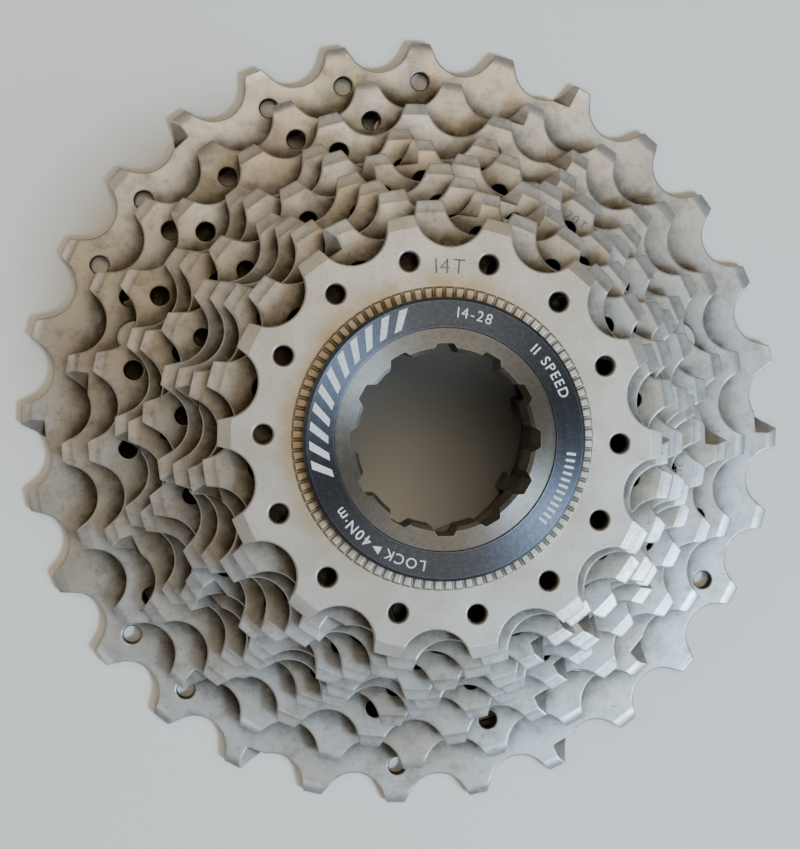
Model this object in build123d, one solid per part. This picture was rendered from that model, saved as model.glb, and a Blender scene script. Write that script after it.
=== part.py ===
from build123d import *
import math
import os

os.makedirs("parts", exist_ok=True)

# An eleven-speed road cassette, 14 to 28 teeth, resting on the back face of its largest sprocket.
# Millimetres. The bore axis is +Z and the smallest sprocket is on top; z = 0 is the back face.

# ---- chain and stack ----
CHAIN_PITCH = 12.7
PLATE = 1.6
GAP = 2.14
STEP = PLATE + GAP
TEETH = [28, 25, 23, 21, 20, 19, 18, 17, 16, 15, 14]
PHASE = {28: 23.9, 25: 25.6, 23: 27.3, 21: 25.0, 20: 35.9, 19: 24.3,
         18: 27.5, 17: 40.3, 16: 32.8, 15: 44.4, 14: 24.0}

# ---- tooth form ----
ROOT_DROP = 3.88
TIP_RISE = 0.35
GAP_RADIUS = 4.65
TIP_WIDTH = 2.7
TIP_WIDTH_SMALL = 3.4
EDGE_BREAK = 0.16
FRONT_BEVEL_REACH = 1.7
FRONT_BEVEL_DROP = 0.5
FRONT_BEVEL_BULGE = 0.09
BACK_BEVEL_REACH = 0.8
BACK_BEVEL_DROP = 0.3
RAMP_SLANT = 32.0
CRISP_BELOW = 24

# ---- freehub spline, nine keys with one wider than the rest ----
BORE_R = 17.45
KEY_R = 16.2
KEY_W = 2.6
WIDE_KEY_W = 3.4
KEYS = 9
SPLINE_PHASE = 90.0

# ---- small drilled holes, on tooth centre lines just inside the root ----
HOLE_R = 1.3
HOLE_INSET = 1.5
HOLE_SINK = 0.2
HOLES_28 = [5, 6, 7, 9, 10, 15, 16, 19, 24]
HOLES_25 = [5, 6, 7, 8, 9, 13, 18, 22]
HOLES_23 = [5, 7, 8, 9, 10, 15, 19]

# ---- teeth with a slanted flank, by tooth number ----
RAMPS_28 = [3, 8, 12, 17, 21, 26]
RAMPS_25 = [3, 10, 14, 20]
RAMPS_23 = [2, 11, 17, 21]

# ---- pressed dishes in the front face of the 23-tooth sprocket ----
DISHES_23 = [2, 3]
DISH_R = 2.4
DISH_DEEP = 0.4
DISH_INSET = 1.1

# ---- riveted group ----
ARMS = 5
ARM_PHASE = 18.0
ARM_W = 11.0
ARM_R = 38.4
PAD_R = 46.0
HUB_R = 21.5
RING_28_IN = 46.4
RING_25_IN = 40.6
RING_23_IN = 38.9
LUG_28_IN = 39.4
LUG_25_IN = 38.8
LUG_23_IN = 32.4
RIVET_R = 1.6
RIVET_HEAD_R = 2.6
RIVET_HEAD_H = 0.6
OUTER_RIVET_AT = 42.4
INNER_RIVET_AT = 35.4

# ---- loose sprockets and spacers ----
SPACER_R = 21.0
COLLAR_R = 21.4
WINDOWS = 9
WINDOW_RING = 4.7
WINDOW_ARM = 5.2
BIG_HOLE_AT = 26.05
BIG_HOLE_R = 3.6
HOLE_16_AT = 27.0
HOLE_16_R = 1.2
HOLE_15_AT = 22.9
HOLE_15_R = 2.2

# ---- serrated collar on the smallest sprocket ----
COLLAR_H = 0.3
SERRATION_IN = 15.9
SERRATION_R = 19.5
SERRATIONS = 88
SERRATION_DEEP = 0.3
SERRATION_W = 0.62

# ---- lock ring and its washer ----
LOCK_WASHER_T = 0.5
LOCK_WASHER_R = 17.5
LOCK_WASHER_BORE = 15.6
FLANGE_R = 18.15
FLANGE_T = 1.5
FLANGE_EDGE = 0.45
BAND_R = 14.35
BAND_STEP = 0.25
THREAD_R = 15.3
THREAD_PITCH = 1.058
THREAD_DEEP = 0.55
THREAD_TURNS = 6
THREAD_RELIEF = 0.9
SLEEVE_BORE = 12.7
TOOL_ROOT_R = 12.3
TOOL_TIP_R = 11.25
TOOL_NOTCH_ROOT_W = 2.1
TOOL_NOTCH_MOUTH_W = 3.3
TOOL_NOTCHES = 12
TOOL_DEPTH = 5.0


def pitch_radius(n):
    return CHAIN_PITCH / (2 * math.sin(math.pi / n))


def root_radius(n):
    return pitch_radius(n) - ROOT_DROP


def tip_radius(n):
    return pitch_radius(n) + TIP_RISE


def bottom_of(n):
    return STEP * TEETH.index(n)


def polar(r, deg):
    a = math.radians(deg)
    return (r * math.cos(a), r * math.sin(a))


def gap_points(n, deg):
    # one tooth gap: flank, round bottom, flank, all turned to the angle of the gap
    tip = tip_radius(n)
    width = TIP_WIDTH_SMALL if n < 17 else TIP_WIDTH
    half = math.pi / n - width / 2 / tip
    centre = root_radius(n) + GAP_RADIUS
    tx = tip * math.cos(half)
    ty = tip * math.sin(half)
    reach = math.hypot(tx - centre, ty)
    turn = math.atan2(ty, tx - centre) + math.acos(min(1.0, GAP_RADIUS / reach))
    ax = centre + GAP_RADIUS * math.cos(turn)
    ay = GAP_RADIUS * math.sin(turn)
    local = [(tx, -ty), (ax, -ay), (centre - GAP_RADIUS, 0), (ax, ay), (tx, ty)]
    a = math.radians(deg)
    c = math.cos(a)
    s = math.sin(a)
    return [(x * c - y * s, x * s + y * c) for x, y in local]


def tooth_outline(n):
    edges = []
    step = 360 / n
    gaps = [gap_points(n, PHASE[n] + (k + 0.5) * step) for k in range(n)]
    for k, pts in enumerate(gaps):
        edges.append(Line(pts[0], pts[1]))
        edges.append(ThreePointArc(pts[1], pts[2], pts[3]))
        edges.append(Line(pts[3], pts[4]))
        crest = polar(tip_radius(n), PHASE[n] + (k + 1) * step)
        edges.append(ThreePointArc(pts[4], crest, gaps[(k + 1) % n][0]))
    return make_face(Wire(edges))


def tip_envelope(n):
    # the turned blank: teeth thin down toward their tips, more on the front than on the back
    tip = tip_radius(n) + 0.02
    low = (tip, 0, PLATE - FRONT_BEVEL_DROP)
    high = (tip - FRONT_BEVEL_REACH, 0, PLATE)
    back_in = (tip - BACK_BEVEL_REACH, 0, 0)
    back_out = (tip, 0, BACK_BEVEL_DROP)
    sides = Polyline(high, (0, 0, PLATE), (0, 0, 0), back_in, back_out, low)
    if n < CRISP_BELOW:
        front = Line(low, high)
    else:
        bulge = FRONT_BEVEL_BULGE
        middle = ((low[0] + high[0]) / 2 + bulge * 0.3, 0, (low[2] + high[2]) / 2 + bulge)
        front = ThreePointArc(low, middle, high)
    return revolve(make_face(Wire([*sides.edges(), front])), Axis.Z, 360)


def toothed_plate(n):
    plate = extrude(tooth_outline(n), PLATE)
    front = plate.faces().sort_by(Axis.Z)[-1].edges()
    back = plate.faces().sort_by(Axis.Z)[0].edges()
    plate = chamfer(front + back, EDGE_BREAK)
    return plate & tip_envelope(n)


def spline_bore(height):
    # what the freehub fills: a round bore with key shapes standing in from its wall
    face = Circle(BORE_R)
    for k in range(KEYS):
        width = WIDE_KEY_W if k == 0 else KEY_W
        key = Pos((KEY_R + BORE_R + 1) / 2, 0) * Rectangle(BORE_R + 1 - KEY_R, width)
        face -= Rot(0, 0, SPLINE_PHASE + k * 360 / KEYS) * key
    return extrude(face, height)


def drilled(n, teeth, at, r):
    # holes on the centre lines of the listed teeth, with a light countersink in front
    cut = Part()
    for k in teeth:
        x, y = polar(at, PHASE[n] + k * 360 / n)
        cut += Pos(x, y, PLATE / 2) * Cylinder(r, PLATE + 2)
        cut += Pos(x, y, PLATE - HOLE_SINK / 2) * Cone(r, r + HOLE_SINK, HOLE_SINK)
    return cut


def shift_ramps(n, teeth):
    # one flank of each listed tooth is cut away at a slant so the chain can climb off it
    cut = Part()
    for k in teeth:
        deg = PHASE[n] + k * 360 / n
        block = Pos(tip_radius(n) - 0.4, 3.0, PLATE - 0.23) * Rot(-RAMP_SLANT, 0, 8) * Box(6.5, 4.4, 2.2)
        cut += Rot(0, 0, deg) * block
    return cut


def pressed_dishes(n, teeth):
    # small shallow dishes in the front face on the centre lines of the listed teeth
    cut = Part()
    for k in teeth:
        x, y = polar(root_radius(n) - DISH_INSET, PHASE[n] + k * 360 / n)
        cut += Pos(x, y, PLATE + DISH_R - DISH_DEEP) * Sphere(DISH_R)
    return cut


def straight_windows(n):
    # nine openings with a straight outer side, leaving nine arms between rim and collar
    outer = root_radius(n) - WINDOW_RING
    inner = COLLAR_R + 0.6
    half = 180 / WINDOWS
    out_w = 2 * outer * math.tan(math.radians(half)) - WINDOW_ARM
    in_w = max(2 * inner * math.tan(math.radians(half)) - WINDOW_ARM, 2.0)
    cut = Part()
    for k in range(WINDOWS):
        pts = [(inner, -in_w / 2), (outer, -out_w / 2), (outer, out_w / 2), (inner, in_w / 2)]
        face = make_face(Polyline(*pts, close=True))
        face = fillet(face.vertices(), 0.7)
        cut += Rot(0, 0, SPLINE_PHASE + (k + 0.5) * 360 / WINDOWS) * extrude(face, PLATE)
    return cut


def lugged_opening(inner, lug_in):
    # the open middle of a riveted sprocket, left solid where a lug reaches in to the spider
    face = Circle(inner)
    for k in range(ARMS):
        lug = Pos((inner + lug_in) / 2 + 2, 0) * Rectangle(inner - lug_in + 4, ARM_W - 2)
        face -= Rot(0, 0, ARM_PHASE + k * 360 / ARMS) * lug
    return extrude(face, PLATE)


def rivet_holes(at, height):
    cut = Part()
    for k in range(ARMS):
        x, y = polar(at, ARM_PHASE + k * 360 / ARMS)
        cut += Pos(x, y, height / 2) * Cylinder(RIVET_R, height + 2)
    return cut


def riveted_sprocket(n, inner, lug_in, rivets_at, holes, ramps, dishes=()):
    body = toothed_plate(n)
    body -= lugged_opening(inner, lug_in)
    body -= drilled(n, holes, root_radius(n) - HOLE_INSET, HOLE_R)
    body -= rivet_holes(rivets_at, PLATE)
    body -= shift_ramps(n, ramps)
    body -= pressed_dishes(n, dishes)
    return Pos(0, 0, bottom_of(n)) * body


def sprocket_28():
    return riveted_sprocket(28, RING_28_IN, LUG_28_IN, OUTER_RIVET_AT, HOLES_28, RAMPS_28)


def sprocket_25():
    return riveted_sprocket(25, RING_25_IN, LUG_25_IN, OUTER_RIVET_AT, HOLES_25, RAMPS_25)


def sprocket_23():
    return riveted_sprocket(23, RING_23_IN, LUG_23_IN, INNER_RIVET_AT, HOLES_23, RAMPS_23, DISHES_23)


def splined_sprocket(n, ramps):
    body = toothed_plate(n)
    body -= spline_bore(PLATE)
    body -= shift_ramps(n, ramps)
    return body


def windowed_sprocket(n, ramps):
    body = splined_sprocket(n, ramps)
    body -= straight_windows(n)
    body -= drilled(n, range(n), root_radius(n) - HOLE_INSET, HOLE_R - 0.1)
    return Pos(0, 0, bottom_of(n)) * body


def sprocket_17():
    body = splined_sprocket(17, [1, 6, 12])
    body -= drilled(17, range(17), BIG_HOLE_AT, BIG_HOLE_R)
    return Pos(0, 0, bottom_of(17)) * body


def sprocket_16():
    body = splined_sprocket(16, [2, 7, 12])
    body -= drilled(16, range(16), HOLE_16_AT, HOLE_16_R)
    return Pos(0, 0, bottom_of(16)) * body


def sprocket_15():
    body = splined_sprocket(15, [3, 8, 13])
    body -= drilled(15, range(15), HOLE_15_AT, HOLE_15_R)
    return Pos(0, 0, bottom_of(15)) * body


def serrated_collar():
    ring = Cylinder(SERRATION_R, COLLAR_H) - Cylinder(SERRATION_IN, COLLAR_H)
    ring = Pos(0, 0, PLATE + COLLAR_H / 2) * ring
    ring = chamfer(ring.edges().group_by(Axis.Z)[-1].sort_by(SortBy.RADIUS)[-1:], 0.2)
    side = SERRATION_W * 0.7
    cut = Part()
    for k in range(SERRATIONS):
        wedge = Pos(SERRATION_R - 1.2, 0, PLATE + COLLAR_H) * Rot(45, 0, 0) * Box(3.4, side, side)
        cut += Rot(0, 0, k * 360 / SERRATIONS) * wedge
    return ring - cut


def sprocket_14():
    body = splined_sprocket(14, [])
    body -= drilled(14, range(14), root_radius(14) - 1.55, HOLE_R - 0.05)
    boss = Pos(0, 0, -GAP / 2) * Cylinder(SPACER_R - 0.6, GAP)
    body += boss - Pos(0, 0, -GAP) * spline_bore(GAP)
    body += serrated_collar() - spline_bore(PLATE + 2)
    return Pos(0, 0, bottom_of(14)) * body


def spacer(below):
    z = bottom_of(below) + PLATE
    ring = Pos(0, 0, GAP / 2) * Cylinder(SPACER_R, GAP)
    ring = chamfer(ring.edges().filter_by(GeomType.CIRCLE), 0.3)
    return Pos(0, 0, z) * (ring - spline_bore(GAP))


def spider():
    hub_top = bottom_of(23) + PLATE
    hub = Pos(0, 0, hub_top / 2) * Cylinder(HUB_R, hub_top)
    for k in range(ARMS):
        arm_h = bottom_of(23) - PLATE
        arm = Pos(ARM_R / 2 + 8, 0, PLATE + arm_h / 2) * Box(ARM_R - 16, ARM_W, arm_h)
        pad = Pos(PAD_R / 2 + 12, 0, PLATE + GAP / 2) * Box(PAD_R - 24, ARM_W, GAP)
        limb = arm + pad
        limb = fillet(limb.edges().filter_by(Axis.Z).group_by(Axis.X)[-1], 2.5)
        pocket = Pos(28.5, 0, bottom_of(23)) * Box(7, 5.4, 5)
        pocket = fillet(pocket.edges().filter_by(Axis.Z), 1.5)
        hub += Rot(0, 0, ARM_PHASE + k * 360 / ARMS) * (limb - pocket)
    hub -= spline_bore(hub_top)
    hub -= rivet_holes(OUTER_RIVET_AT, hub_top)
    hub -= rivet_holes(INNER_RIVET_AT, hub_top)
    return hub


def rivet(low, high, flush_back):
    shank = Pos(0, 0, (low + high) / 2) * Cylinder(RIVET_R, high - low)
    head = Pos(0, 0, high + RIVET_HEAD_H / 2) * Cylinder(RIVET_HEAD_R, RIVET_HEAD_H)
    head = fillet(head.edges().group_by(Axis.Z)[-1], RIVET_HEAD_H * 0.7)
    body = shank + head
    if not flush_back:
        foot = Pos(0, 0, low - RIVET_HEAD_H / 2) * Cylinder(RIVET_HEAD_R, RIVET_HEAD_H)
        body += fillet(foot.edges().group_by(Axis.Z)[0], RIVET_HEAD_H * 0.7)
    return body


def rivet_set(at, low, high, flush_back):
    one = rivet(low, high, flush_back)
    places = [polar(at, ARM_PHASE + k * 360 / ARMS) for k in range(ARMS)]
    return Compound(children=[Pos(x, y, 0) * one for x, y in places])


def lock_washer():
    z = bottom_of(14) + PLATE + COLLAR_H
    ring = Cylinder(LOCK_WASHER_R, LOCK_WASHER_T) - Cylinder(LOCK_WASHER_BORE, LOCK_WASHER_T)
    return Pos(0, 0, z + LOCK_WASHER_T / 2) * ring


def thread_section(top):
    # external thread drawn as a run of V crests below the flange
    pts = [(SLEEVE_BORE, top), (THREAD_R - THREAD_DEEP, top), (THREAD_R - THREAD_DEEP, top - THREAD_RELIEF)]
    z = top - THREAD_RELIEF
    for k in range(THREAD_TURNS):
        pts.append((THREAD_R, z - THREAD_PITCH * (k + 0.5)))
        pts.append((THREAD_R - THREAD_DEEP, z - THREAD_PITCH * (k + 1)))
    pts.append((SLEEVE_BORE, z - THREAD_PITCH * THREAD_TURNS))
    return make_face(Polyline(*[(x, 0, y) for x, y in pts], close=True))


def tool_notch(top):
    # one slot for a spline of the tool, narrower at its root, with rounded corners there
    mouth = TOOL_NOTCH_MOUTH_W / 2
    root = TOOL_NOTCH_ROOT_W / 2
    slope = (mouth - root) / (TOOL_ROOT_R - TOOL_TIP_R)
    near = TOOL_TIP_R - 0.6
    inner = mouth + 0.6 * slope
    pts = [(near, -inner), (TOOL_ROOT_R, -root), (TOOL_ROOT_R, root), (near, inner)]
    face = make_face(Polyline(*pts, close=True))
    face = fillet(face.vertices().group_by(Axis.X)[-1], 0.35)
    return Pos(0, 0, top - 10) * extrude(face, 12)


def lock_ring():
    under = bottom_of(14) + PLATE + COLLAR_H + LOCK_WASHER_T
    top = under + FLANGE_T
    pts = [(TOOL_TIP_R, under - TOOL_DEPTH), (SLEEVE_BORE, under - TOOL_DEPTH), (SLEEVE_BORE, under),
           (FLANGE_R, under), (FLANGE_R, top - FLANGE_EDGE), (FLANGE_R - FLANGE_EDGE, top),
           (BAND_R, top), (BAND_R - 0.15, top - BAND_STEP), (TOOL_TIP_R + 0.5, top - BAND_STEP),
           (TOOL_TIP_R, top - BAND_STEP - 0.5)]
    flange = revolve(make_face(Polyline(*[(x, 0, z) for x, z in pts], close=True)), Axis.Z, 360)
    flange += revolve(thread_section(under), Axis.Z, 360)
    for k in range(TOOL_NOTCHES):
        flange -= Rot(0, 0, k * 360 / TOOL_NOTCHES) * tool_notch(top)
    return flange


NODES = {
    "spider": spider(),
    "sprocket_28t": sprocket_28(),
    "sprocket_25t": sprocket_25(),
    "sprocket_23t": sprocket_23(),
    "outer_rivets": rivet_set(OUTER_RIVET_AT, 0, bottom_of(25) + PLATE, True),
    "inner_rivets": rivet_set(INNER_RIVET_AT, PLATE, bottom_of(23) + PLATE, False),
    "spacer_under_21t": spacer(23),
    "sprocket_21t": windowed_sprocket(21, [2, 9, 16]),
    "spacer_under_20t": spacer(21),
    "sprocket_20t": windowed_sprocket(20, [3, 10, 16]),
    "spacer_under_19t": spacer(20),
    "sprocket_19t": windowed_sprocket(19, [4, 10, 15]),
    "spacer_under_18t": spacer(19),
    "sprocket_18t": windowed_sprocket(18, [2, 8, 14]),
    "spacer_under_17t": spacer(18),
    "sprocket_17t": sprocket_17(),
    "spacer_under_16t": spacer(17),
    "sprocket_16t": sprocket_16(),
    "spacer_under_15t": spacer(16),
    "sprocket_15t": sprocket_15(),
    "sprocket_14t": sprocket_14(),
    "lock_washer": lock_washer(),
    "lock_ring": lock_ring(),
}

for name, shape in NODES.items():
    export_step(shape, f"parts/{name}.step")
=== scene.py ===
import math
import bpy
from mathutils import Matrix, Vector


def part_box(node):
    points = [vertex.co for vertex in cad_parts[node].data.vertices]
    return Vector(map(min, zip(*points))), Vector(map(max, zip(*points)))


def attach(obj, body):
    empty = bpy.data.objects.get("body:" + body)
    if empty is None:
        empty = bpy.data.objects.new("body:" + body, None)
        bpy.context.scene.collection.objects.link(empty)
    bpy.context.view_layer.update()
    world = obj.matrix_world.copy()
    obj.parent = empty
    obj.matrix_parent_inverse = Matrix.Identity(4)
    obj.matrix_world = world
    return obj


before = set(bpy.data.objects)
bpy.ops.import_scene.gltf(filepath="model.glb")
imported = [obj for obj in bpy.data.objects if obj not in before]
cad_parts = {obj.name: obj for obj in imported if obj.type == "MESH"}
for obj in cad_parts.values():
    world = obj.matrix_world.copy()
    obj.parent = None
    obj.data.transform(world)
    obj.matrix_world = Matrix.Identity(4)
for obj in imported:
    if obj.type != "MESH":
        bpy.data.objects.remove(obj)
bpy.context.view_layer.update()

# Metres. The bore axis is +Z through the origin; the object lies on z = 0.
MM = 0.001

# ---- camera ----
CAMERA_AT = Vector((-0.0310, 0.0113, 0.2571))
LOOK_AT = Vector((-0.0011, 0.0002, 0.0))
ROLL_DEG = -0.1
LENS_MM = 72.9
SENSOR_MM = 36.0

# ---- colours, linear ----
PLATE_WARM = (0.40, 0.355, 0.295, 1)
PLATE_COOL = (0.47, 0.46, 0.45, 1)
PLATE_TIP = (0.62, 0.61, 0.60, 1)
# Grease colour, also laid in gaps and corners as painted shade.
GREASE_AND_SHADE = (0.040, 0.033, 0.022, 1)
DUST = (0.22, 0.175, 0.115, 1)
# Pale colour on convex edges: partly bare worn metal, partly a painted highlight.
BARE_EDGE_AND_HIGHLIGHT = (0.75, 0.75, 0.75, 1)
FACE_PALE = (0.50, 0.47, 0.425, 1)
FACE_DULL = (0.42, 0.38, 0.32, 1)
FACE_SPECK = (0.16, 0.135, 0.10, 1)
# Golden dust colour, also laid towards the upper left as a painted warm reflection.
STAIN_AND_WARM_REFLECTION = (0.34, 0.235, 0.105, 1)
# Dark brown used as painted shade in crevices.
CREVICE_SHADE = (0.055, 0.040, 0.024, 1)
RING_BARE_LOW = (0.165, 0.158, 0.145, 1)
RING_BARE_HIGH = (0.205, 0.197, 0.182, 1)
# The black band's colours are tinted blue as a painted sky reflection.
RING_BLACK_SKY_TINT_LOW = (0.078, 0.086, 0.106, 1)
RING_BLACK_SKY_TINT_HIGH = (0.102, 0.111, 0.136, 1)
INK_PALE = (0.72, 0.73, 0.74, 1)
INK_WORN = (0.50, 0.51, 0.52, 1)
STAMP_DARK = (0.10, 0.085, 0.065, 1)
STAMP_LIGHT = (0.20, 0.175, 0.14, 1)
FLOOR = (0.80, 0.77, 0.72, 1)

# ---- the stack, millimetres ----
CHAIN_PITCH = 12.7
PLATED_TEETH = (28, 25, 23, 21, 20, 19, 18, 17, 16, 15)
ROOT_DROP = 3.9
COLLAR_HEIGHT = 0.3
SERRATION_RADIUS = 19.5
BAND_RADIUS = 14.2

# ---- printed and stamped marks, millimetres ----
PRINT_RADIUS = 16.3
PRINT_HEIGHT = 1.35
MARK_LIFT = 0.01
BAR_SPAN = (15.0, 17.4)
TICK_SPAN = (15.7, 16.9)
FONT_SIZE_PER_CAP = 1.4
SPACE_WIDTH = 0.4

# ---- lamps: name, azimuth and elevation in degrees, distance in metres, size in metres, watts, colour ----
DAYLIGHT = (0.57, 0.78, 1.0)
LAMPS = [
    ("window", -34, 53, 1.0, (0.24, 0.20), 16.0, DAYLIGHT),
    ("sill", -28, 36, 1.0, (0.30, 0.20), 4.2, DAYLIGHT),
    ("ceiling", 75, 72, 0.9, (0.45, 0.45), 3.6, (1.0, 0.88, 0.68)),
    ("room", 165, 42, 0.9, (0.7, 0.5), 2.1, (1.0, 0.86, 0.68)),
    ("door", -105, 62, 1.0, (0.35, 0.35), 1.8, (0.78, 0.89, 1.0)),
]
AMBIENT_COLOR = (1.0, 0.82, 0.56, 1)
AMBIENT_STRENGTH = 0.27
LOOK = "AgX - Punchy"

# ---- floor, metres ----
FLOOR_HALF_SIDE = 1.2
FLOOR_DROP = 0.0002


# ---- small node language ----
class Shade:
    """One material's node tree, with the few node kinds that these finishes use."""

    def __init__(self, name):
        self.material = bpy.data.materials.new(name)
        self.material.use_nodes = True
        self.tree = self.material.node_tree
        self.tree.nodes.clear()
        self.shader = self.add("ShaderNodeBsdfPrincipled")
        out = self.add("ShaderNodeOutputMaterial")
        self.link(self.shader.outputs["BSDF"], out.inputs["Surface"])
        self.here = self.add("ShaderNodeTexCoord").outputs["Object"]

    def add(self, kind, **settings):
        node = self.tree.nodes.new(kind)
        for key, value in settings.items():
            setattr(node, key, value)
        return node

    def link(self, source, target):
        self.tree.links.new(source, target)

    def put(self, socket, value):
        if isinstance(value, bpy.types.NodeSocket):
            self.link(value, socket)
        else:
            socket.default_value = value

    def math(self, operation, a, b=0.0, clamp=False):
        node = self.add("ShaderNodeMath", operation=operation, use_clamp=clamp)
        self.put(node.inputs[0], a)
        self.put(node.inputs[1], b)
        return node.outputs[0]

    def times(self, a, b):
        return self.math("MULTIPLY", a, b)

    def plus(self, a, b, clamp=False):
        return self.math("ADD", a, b, clamp)

    def ramp(self, value, low, high, to_low=0.0, to_high=1.0):
        """A smooth step: to_low where value is at low, to_high where it is at high."""
        node = self.add("ShaderNodeMapRange", interpolation_type="SMOOTHSTEP")
        for socket, item in zip(node.inputs, (value, low, high, to_low, to_high)):
            self.put(socket, item)
        return node.outputs[0]

    def mix(self, share, a, b):
        """Colour a, with a share of colour b over it."""
        node = self.add("ShaderNodeMix", data_type="RGBA")
        factor, first, second = (node.inputs[i] for i in (0, 6, 7))
        self.put(factor, share)
        self.put(first, a)
        self.put(second, b)
        return node.outputs[2]

    def noise(self, size_mm, detail=3.0, rough=0.5, where=None, offset=0.0):
        """Cloudy noise whose patches are about size_mm across."""
        place = self.add("ShaderNodeMapping")
        place.inputs["Scale"].default_value = [1 / (size_mm * MM)] * 3
        place.inputs["Location"].default_value = (offset, offset * 0.7, offset * 0.3)
        self.link(where or self.here, place.inputs["Vector"])
        node = self.add("ShaderNodeTexNoise")
        node.inputs["Scale"].default_value = 1.0
        node.inputs["Detail"].default_value = detail
        node.inputs["Roughness"].default_value = rough
        self.link(place.outputs[0], node.inputs["Vector"])
        return node.outputs["Fac"]

    def axes(self):
        node = self.add("ShaderNodeSeparateXYZ")
        self.link(self.here, node.inputs[0])
        return node.outputs

    def radius(self):
        """Distance from the bore axis."""
        x, y, z = self.axes()
        return self.math("SQRT", self.plus(self.times(x, x), self.times(y, y)))

    def along_radius(self):
        """A place that changes only with the radius, for rings."""
        node = self.add("ShaderNodeCombineXYZ")
        self.put(node.inputs[0], self.radius())
        return node.outputs[0]

    def edge_wear_and_highlight(self, size_mm):
        """1 on sharp convex edges and 0 on flat faces; used for worn edges and painted edge highlights."""
        bevel = self.add("ShaderNodeBevel", samples=6)
        bevel.inputs["Radius"].default_value = size_mm * MM
        flat = self.add("ShaderNodeNewGeometry").outputs["Normal"]
        dot = self.add("ShaderNodeVectorMath", operation="DOT_PRODUCT")
        self.link(bevel.outputs[0], dot.inputs[0])
        self.link(flat, dot.inputs[1])
        still_flat, well_turned = 0.995, 0.93
        return self.ramp(dot.outputs["Value"], still_flat, well_turned)

    def crevice(self, distance_mm):
        """1 in narrow gaps and under overhangs, 0 in the open."""
        node = self.add("ShaderNodeAmbientOcclusion", samples=8)
        node.inputs["Distance"].default_value = distance_mm * MM
        return self.math("SUBTRACT", 1.0, node.outputs["AO"])

    def bump(self, height, strength, distance_mm, rounding_mm=0.0):
        """Fine relief, with the edges shaded as if rounded."""
        node = self.add("ShaderNodeBump")
        if rounding_mm:
            bevel = self.add("ShaderNodeBevel", samples=6)
            bevel.inputs["Radius"].default_value = rounding_mm * MM
            self.link(bevel.outputs[0], node.inputs["Normal"])
        node.inputs["Strength"].default_value = strength
        node.inputs["Distance"].default_value = distance_mm * MM
        self.link(height, node.inputs["Height"])
        self.link(node.outputs[0], self.shader.inputs["Normal"])

    def turned(self, amount):
        """The long highlights of a face turned on a lathe."""
        grain = self.add("ShaderNodeTangent", direction_type="RADIAL", axis="Z")
        self.shader.inputs["Anisotropic"].default_value = amount
        self.shader.inputs["Anisotropic Rotation"].default_value = 0.25
        self.link(grain.outputs[0], self.shader.inputs["Tangent"])

    def set(self, **values):
        names = {"color": "Base Color", "metal": "Metallic", "rough": "Roughness"}
        for key, value in values.items():
            self.put(self.shader.inputs[names[key]], value)


def dress(node_names, material):
    """Put one material in every slot of the named CAD nodes."""
    for name in node_names:
        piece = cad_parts[name]
        for slot in piece.material_slots:
            slot.material = material


# ---- materials ----
def plated_steel(name, seed, root_mm):
    """Worn nickel plate: mottled and greasy where the chain runs, with painted shade darkening the gaps
    between plates.
    """
    s = Shade(name)
    r = s.radius()
    broad = s.noise(24, 2.0, offset=seed)
    cloud = s.noise(6, 4.0, 0.62, offset=seed + 3)
    blotch = s.noise(2.2, 4.0, 0.65, offset=seed + 5)
    speck = s.noise(0.7, 3.0, 0.65, offset=seed + 7)
    color = s.mix(s.ramp(broad, 0.35, 0.65), PLATE_WARM, PLATE_COOL)
    # Paler towards the tooth tips.
    paler_tip = s.ramp(r, (root_mm + 2.6) * MM, (root_mm + 3.6) * MM, 0, 0.8)
    color = s.mix(paler_tip, color, PLATE_TIP)
    color = s.mix(s.ramp(cloud, 0.48, 0.75, 0, 0.45), color, DUST)
    color = s.mix(s.ramp(blotch, 0.46, 0.74, 0, 0.36), color, GREASE_AND_SHADE)
    near_root = s.ramp(r, (root_mm - 8.0) * MM, (root_mm - 0.5) * MM, 1, 0)
    greasy = s.times(s.ramp(cloud, 0.36, 0.66), near_root)
    color = s.mix(s.times(greasy, 0.65), color, GREASE_AND_SHADE)
    # Painted shade: the grease colour laid in the gaps between plates and under the plate above, where
    # shadow falls.
    gap_shade = s.times(s.ramp(s.crevice(6.0), 0.10, 0.46), s.ramp(blotch, 0.20, 0.55, 0.62, 0.97))
    color = s.mix(gap_shade, color, GREASE_AND_SHADE)
    color = s.mix(s.ramp(speck, 0.60, 0.74, 0, 0.45), color, GREASE_AND_SHADE)
    # Convex edges paler: partly bare worn metal, partly a painted highlight.
    color = s.mix(s.times(s.edge_wear_and_highlight(0.15), 0.5), color, BARE_EDGE_AND_HIGHLIGHT)
    rough = s.ramp(cloud, 0.3, 0.8, 0.30, 0.44)
    rough = s.plus(rough, s.times(gap_shade, 0.2), True)
    s.set(color=color, metal=0.76, rough=rough)
    s.bump(s.plus(s.times(speck, 0.6), s.times(blotch, 0.6)), 0.25, 0.03, 0.35)
    return s.material


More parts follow.
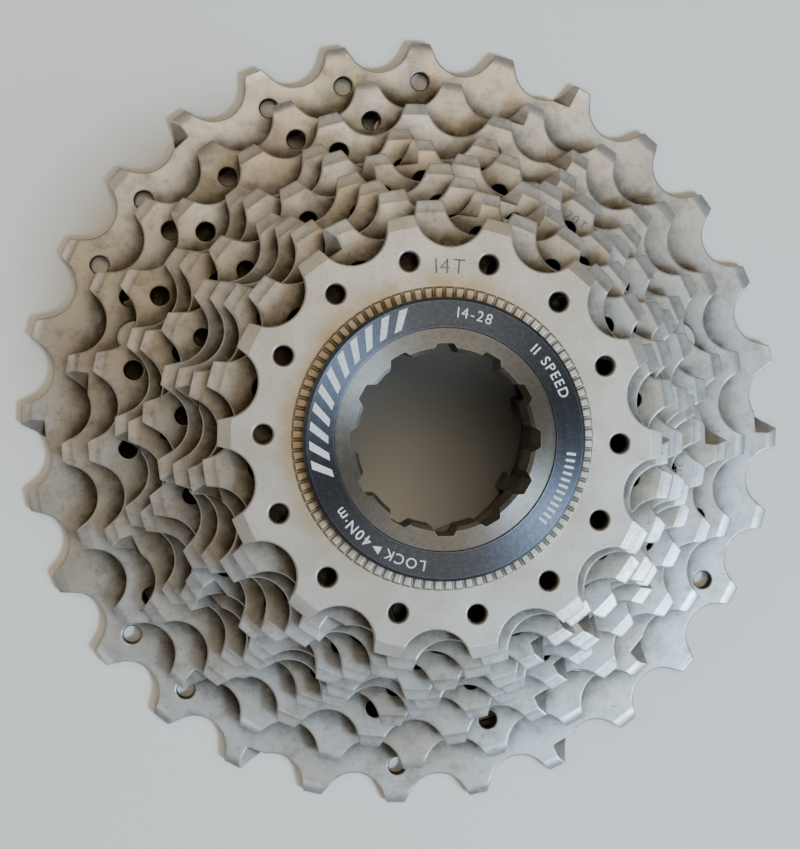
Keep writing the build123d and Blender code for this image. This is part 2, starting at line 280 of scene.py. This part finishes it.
def top_plate():
    """The smallest sprocket: paler and cleaner, with golden dust packed in the serrations, a painted warm
    reflection laid on towards the upper left and painted shade in its crevices.
    """
    s = Shade("top_sprocket_plate")
    r = s.radius()
    cloud = s.noise(8, 4.0, 0.6, offset=2)
    grain = s.noise(0.4, 3.0, 0.7, offset=9)
    color = s.mix(s.ramp(cloud, 0.35, 0.7), FACE_PALE, FACE_DULL)
    color = s.mix(s.ramp(grain, 0.52, 0.75, 0, 0.45), color, FACE_SPECK)
    # Painted warm reflection: the golden stain is laid more thickly towards the upper left, where the face
    # looks warmer from the light it reflects.
    x, y, z = s.axes()
    toward_upper_left = s.math("SUBTRACT", y, s.times(x, 1.4))
    painted_warm_side = s.ramp(toward_upper_left, -10 * MM, 20 * MM, 0.15, 1)
    patchy = s.ramp(cloud, 0.3, 0.6, 0.5, 1)
    halo = s.ramp(r, (SERRATION_RADIUS + 3.2) * MM, SERRATION_RADIUS * MM, 0, 0.75)
    stain_and_warm_reflection = s.times(s.times(halo, painted_warm_side), patchy)
    color = s.mix(stain_and_warm_reflection, color, STAIN_AND_WARM_REFLECTION)
    # Painted shade: dark brown laid in the serrations and other crevices, where shadow falls.
    gap_shade = s.times(s.ramp(s.crevice(1.6), 0.15, 0.7), 0.55)
    color = s.mix(gap_shade, color, CREVICE_SHADE)
    # Convex edges paler: partly bare worn metal, partly a painted highlight.
    color = s.mix(s.times(s.edge_wear_and_highlight(0.12), 0.35), color, BARE_EDGE_AND_HIGHLIGHT)
    s.set(color=color, metal=0.8, rough=s.ramp(grain, 0.3, 0.8, 0.36, 0.52))
    s.bump(grain, 0.35, 0.02, 0.2)
    return s.material


def cast_alloy(name, tone, rough_low, rough_high):
    """Plain alloy or steel of one grey tone, dull in patches, with painted shade darkening its corners."""
    s = Shade(name)
    cloud = s.noise(5, 4.0, 0.6, offset=4)
    grain = s.noise(0.5, 3.0, 0.6, offset=6)
    clean = (tone, tone, tone * 1.02, 1)
    dull = (tone * 0.6, tone * 0.56, tone * 0.5, 1)
    color = s.mix(s.ramp(cloud, 0.35, 0.7), clean, dull)
    # Painted shade: the grease colour laid in corners and narrow gaps, where shadow falls.
    color = s.mix(s.ramp(s.crevice(4.0), 0.2, 0.8, 0, 0.8), color, GREASE_AND_SHADE)
    # Convex edges paler: partly bare worn metal, partly a painted highlight.
    color = s.mix(s.times(s.edge_wear_and_highlight(0.2), 0.4), color, BARE_EDGE_AND_HIGHLIGHT)
    s.set(color=color, metal=0.9, rough=s.ramp(cloud, 0.3, 0.8, rough_low, rough_high))
    s.bump(grain, 0.25, 0.02)
    return s.material


def anodised_ring():
    """Black anodised band outside, bare turned metal inside, split at the step between them; the black is
    tinted blue as a painted sky reflection.
    """
    s = Shade("lock_ring_anodised")
    grain = s.noise(0.5, 3.0, 0.6, offset=1)
    rings = s.noise(0.3, 2.0, 0.5, where=s.along_radius(), offset=5)
    band = s.ramp(s.radius(), (BAND_RADIUS - 0.15) * MM, BAND_RADIUS * MM)
    bare = s.mix(s.ramp(grain, 0.3, 0.7), RING_BARE_LOW, RING_BARE_HIGH)
    # Painted reflection: the black is tinted blue like the sky it reflects.
    black = s.mix(s.ramp(grain, 0.4, 0.7), RING_BLACK_SKY_TINT_LOW, RING_BLACK_SKY_TINT_HIGH)
    color = s.mix(band, bare, black)
    # Convex edges paler: partly bare worn metal, partly a painted highlight.
    color = s.mix(s.times(s.edge_wear_and_highlight(0.10), 0.4), color, BARE_EDGE_AND_HIGHLIGHT)
    s.set(color=color, metal=1.0, rough=s.ramp(rings, 0.3, 0.7, 0.40, 0.46))
    s.turned(0.87)
    return s.material


def print_ink():
    """Pale ink, a little worn."""
    s = Shade("ring_print")
    grain = s.noise(0.4, 2.0, offset=8)
    s.set(color=s.mix(s.ramp(grain, 0.4, 0.8), INK_PALE, INK_WORN), metal=0.0, rough=0.45)
    return s.material


def stamped_metal():
    """The dark colour of the flat stamped figures."""
    s = Shade("stamped_mark")
    grain = s.noise(0.6, 3.0, offset=3)
    s.set(color=s.mix(s.ramp(grain, 0.35, 0.7), STAMP_DARK, STAMP_LIGHT), metal=0.6, rough=0.5)
    return s.material


def root_radius(teeth):
    return CHAIN_PITCH / (2 * math.sin(math.pi / teeth)) - ROOT_DROP


for teeth in PLATED_TEETH:
    seed = teeth * 1.7
    dress([f"sprocket_{teeth}t"], plated_steel(f"plate_{teeth}t", seed, root_radius(teeth)))
dress(["sprocket_14t"], top_plate())
dress(["spider"], cast_alloy("spider_alloy", 0.50, 0.38, 0.5))
dress([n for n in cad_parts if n.startswith("spacer_")], cast_alloy("spacer_alloy", 0.30, 0.35, 0.5))
dress(["outer_rivets", "inner_rivets", "lock_washer"], cast_alloy("rivet_steel", 0.5, 0.3, 0.42))
dress(["lock_ring"], anodised_ring())


# ---- marks printed on the lock ring and stamped in the plates ----
class Layer:
    """Where flat marks go: a height in metres, a material and a body; the slot is kept but not used."""

    def __init__(self, face_z, material, body, slot):
        self.z = face_z + MARK_LIFT * MM
        self.material = material
        self.body = body
        self.slot = slot

    def add(self, name, points, faces):
        mesh = bpy.data.meshes.new(name)
        mesh.from_pydata([(x * MM, y * MM, self.z) for x, y in points], [], faces)
        mesh.materials.append(self.material)
        piece = bpy.data.objects.new(name, mesh)
        bpy.context.scene.collection.objects.link(piece)
        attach(piece, self.body)


def polar(radius, deg):
    a = math.radians(deg)
    return (radius * math.cos(a), radius * math.sin(a))


def glyph(letter, height, bold):
    """One letter as flat points and faces, and its width, in millimetres, baseline at y = 0."""
    curve = bpy.data.curves.new("glyph", "FONT")
    curve.body = letter
    curve.size = height * FONT_SIZE_PER_CAP
    curve.offset = bold
    curve.resolution_u = 4
    holder = bpy.data.objects.new("glyph", curve)
    bpy.context.scene.collection.objects.link(holder)
    bpy.context.view_layer.update()
    mesh = holder.evaluated_get(bpy.context.evaluated_depsgraph_get()).to_mesh()
    points = [(v.co.x, v.co.y) for v in mesh.vertices]
    faces = [list(p.vertices) for p in mesh.polygons]
    bpy.data.objects.remove(holder)
    left = min((x for x, y in points), default=0.0)
    right = max((x for x, y in points), default=height * SPACE_WIDTH)
    return [(x - left, y) for x, y in points], faces, right - left


def letters_on_arc(layer, name, text, radius, middle_deg, height, bold=0.0, space=0.35):
    """Letters set clockwise round the bore axis with their tops outward."""
    glyphs = [glyph(letter, height, bold) for letter in text]
    total = sum(width for _, _, width in glyphs) + space * (len(glyphs) - 1)
    at = -total / 2
    points = []
    faces = []
    for shape, polygons, width in glyphs:
        turn = math.radians(middle_deg) - (at + width / 2) / radius
        out = Vector((math.cos(turn), math.sin(turn)))
        along = Vector((math.sin(turn), -math.cos(turn)))
        first = len(points)
        for x, y in shape:
            spot = out * (radius - height / 2 + y) + along * (x - width / 2)
            points.append((spot.x, spot.y))
        faces += [[first + i for i in polygon] for polygon in polygons]
        at += width + space
    layer.add(name, points, faces)


def bars_on_arc(layer, name, span, start_deg, end_deg, count, share, lean_deg):
    """A plain run of bars from one radius to another, each filling a share of its step."""
    low, high = span
    points = []
    faces = []
    step = (end_deg - start_deg) / count
    for k in range(count):
        near = start_deg + k * step
        far = near + share * step
        points += [polar(low, near), polar(high, near + lean_deg)]
        points += [polar(high, far + lean_deg), polar(low, far)]
        faces.append([4 * k, 4 * k + 1, 4 * k + 2, 4 * k + 3])
    layer.add(name, points, faces)


def turn_arrow(layer, name, span, back_deg, point_deg):
    """A triangle that points the way the lock ring is turned to lock."""
    low, high = span
    corners = [polar(low, back_deg), polar(high, back_deg), polar((low + high) / 2, point_deg)]
    layer.add(name, corners, [[0, 1, 2]])


def ring_marks(ink):
    """Generic words and bars on the lock ring's band."""
    layer = Layer(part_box("lock_ring")[1].z, ink, "lock_ring", "lock_ring_anodised")
    letters_on_arc(layer, "mark_teeth", "14-28", PRINT_RADIUS, 77, PRINT_HEIGHT)
    letters_on_arc(layer, "mark_speed", "11 SPEED", PRINT_RADIUS, 33, 1.3, bold=0.02)
    letters_on_arc(layer, "mark_lock", "LOCK", PRINT_RADIUS, -109, PRINT_HEIGHT)
    letters_on_arc(layer, "mark_torque", "40N·m", PRINT_RADIUS, -137, PRINT_HEIGHT, bold=0.02)
    turn_arrow(layer, "mark_arrow", (15.8, 16.9), -121, -125)
    bars_on_arc(layer, "mark_bars", BAR_SPAN, 198, 108, count=11, share=0.45, lean_deg=-6)
    bars_on_arc(layer, "mark_ticks", TICK_SPAN, -6, -42, count=12, share=0.4, lean_deg=0)


def tooth_count_stamp(teeth, body, slot, metal, radius, middle_deg, height, above_face=0.0):
    """The tooth count on a sprocket's front face; above_face is what stands up from that face."""
    face_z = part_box(f"sprocket_{teeth}t")[1].z - above_face * MM
    layer = Layer(face_z, metal, body, slot)
    letters_on_arc(layer, f"stamp_{teeth}t", f"{teeth}T", radius, middle_deg, height, -0.02, 0.4)


ring_marks(print_ink())
stamped = stamped_metal()
tooth_count_stamp(14, "cog_14", "top_sprocket_plate", stamped, 22.2, 88, 2.0, COLLAR_HEIGHT)
tooth_count_stamp(20, "cog_20", "sprocket_plate", stamped, 37.2, 53.5, 1.3)
tooth_count_stamp(21, "cog_21", "sprocket_plate", stamped, 38.8, 350.8, 1.3)
tooth_count_stamp(23, "riveted_group", "sprocket_plate", stamped, 41.3, 33.6, 1.2)


# ---- floor, light, camera ----
def floor_slab():
    s = Shade("floor")
    s.set(color=FLOOR, metal=0.0, rough=0.7)
    mesh = bpy.data.meshes.new("floor")
    around = ((-1, -1), (1, -1), (1, 1), (-1, 1))
    corners = [(x * FLOOR_HALF_SIDE, y * FLOOR_HALF_SIDE, -FLOOR_DROP) for x, y in around]
    mesh.from_pydata(corners, [], [(0, 1, 2, 3)])
    mesh.materials.append(s.material)
    piece = bpy.data.objects.new("floor", mesh)
    bpy.context.scene.collection.objects.link(piece)


def panel_light(name, azimuth_deg, elevation_deg, distance, size, watts, color):
    """A soft panel that faces the origin."""
    light = bpy.data.lights.new(name, "AREA")
    light.shape = "RECTANGLE"
    light.size, light.size_y = size
    light.energy = watts
    light.color = color
    lamp = bpy.data.objects.new(name, light)
    a, e = math.radians(azimuth_deg), math.radians(elevation_deg)
    lamp.location = Vector((math.cos(e) * math.cos(a), math.cos(e) * math.sin(a), math.sin(e))) * distance
    lamp.rotation_euler = lamp.location.to_track_quat("Z", "Y").to_euler()
    bpy.context.scene.collection.objects.link(lamp)


def studio():
    world = bpy.data.worlds.new("studio")
    world.use_nodes = True
    shade = world.node_tree.nodes["Background"]
    shade.inputs["Color"].default_value = AMBIENT_COLOR
    shade.inputs["Strength"].default_value = AMBIENT_STRENGTH
    bpy.context.scene.world = world
    bpy.context.scene.view_settings.look = LOOK
    for lamp in LAMPS:
        panel_light(*lamp)


def place_camera():
    lens = bpy.data.cameras.new("camera")
    lens.lens = LENS_MM
    lens.sensor_width = SENSOR_MM
    lens.clip_start = 0.01
    eye = bpy.data.objects.new("camera", lens)
    look = (LOOK_AT - CAMERA_AT).normalized()
    right = look.cross(Vector((0, 1, 0))).normalized()
    right = Matrix.Rotation(math.radians(ROLL_DEG), 3, look) @ right
    up = right.cross(look)
    basis = Matrix((right, up, -look)).transposed().to_4x4()
    eye.matrix_world = Matrix.Translation(CAMERA_AT) @ basis
    bpy.context.scene.collection.objects.link(eye)
    bpy.context.scene.camera = eye


floor_slab()
studio()
place_camera()
